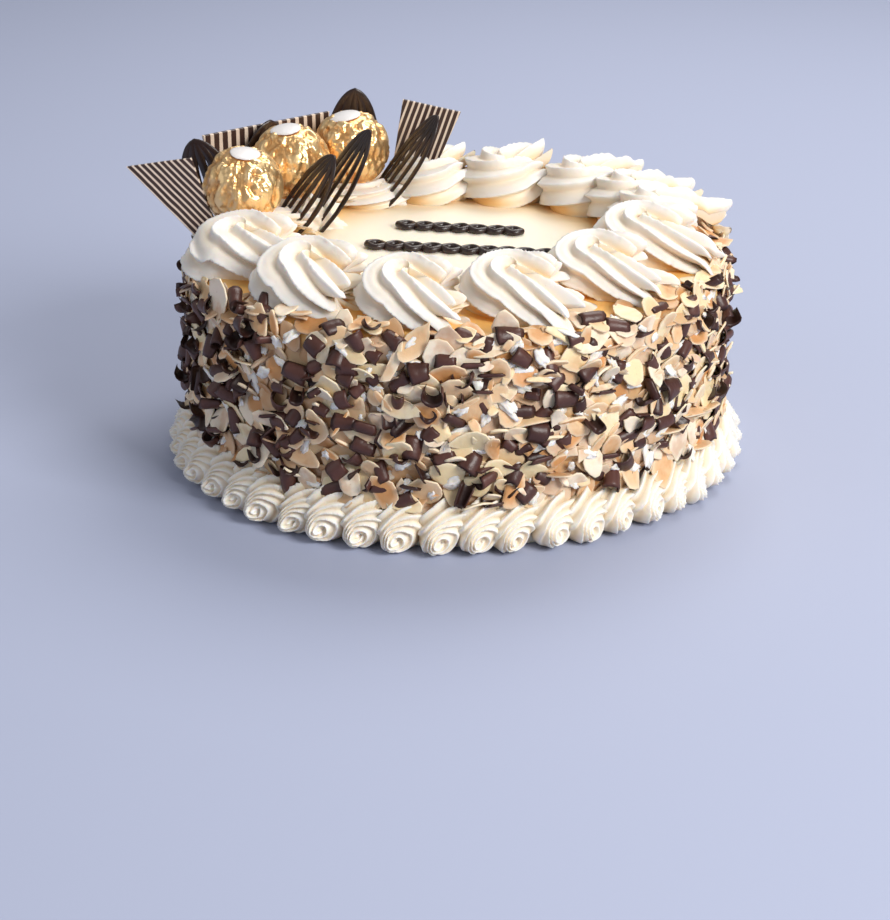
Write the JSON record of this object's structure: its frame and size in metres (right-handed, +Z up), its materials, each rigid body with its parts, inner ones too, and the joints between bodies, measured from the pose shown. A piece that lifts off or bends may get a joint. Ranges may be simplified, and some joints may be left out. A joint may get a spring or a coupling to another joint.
{
  "type": "hazelnut cream cake",
  "caption": "Round uncut cream cake coated with almond flakes and chocolate curls, topped with piped rosettes, foil-wrapped chocolates and chocolate pieces.",
  "frame": {"origin": "centre of the flat underside", "axes": "+Z up, -Y towards the front, where the piped rows on top read the right way up, and +X to the right"},
  "size_m": [0.2493, 0.2342, 0.126],
  "materials": {
    "coat": "cream side covered with almond flakes and dark chocolate curls",
    "cream": "smooth whipped cream",
    "foil": "crumpled gold foil",
    "label": "plain white",
    "chocolate": "dark chocolate, slightly glossy",
    "striped": "dark and white chocolate in narrow stripes"
  },
  "bodies": {
    "root": {"cake_body": "coat", "shell_border": "cream", "rosette_01": "cream", "rosette_02": "cream", "rosette_03": "cream", "rosette_04": "cream", "rosette_05": "cream", "rosette_06": "cream", "rosette_07": "cream", "rosette_08": "cream", "rosette_09": "cream", "rosette_10": "cream", "rosette_11": "cream", "rosette_12": "cream", "rosette_13": "cream", "rosette_14": "cream", "cream_dab_1": "cream", "cream_dab_2": "cream", "foil_ball_1": "foil", "ball_label_1": "label", "foil_ball_2": "foil", "ball_label_2": "label", "foil_ball_3": "foil", "ball_label_3": "label", "chocolate_petal_1": "chocolate", "chocolate_petal_2": "chocolate", "chocolate_petal_3": "chocolate", "chocolate_petal_4": "chocolate", "chocolate_petal_5": "chocolate", "chocolate_petal_6": "chocolate", "striped_panel_1": "striped", "striped_panel_2": "striped", "striped_panel_3": "striped", "piped_twist_1": "chocolate", "piped_twist_2": "chocolate"}
  },
  "joints": []
}
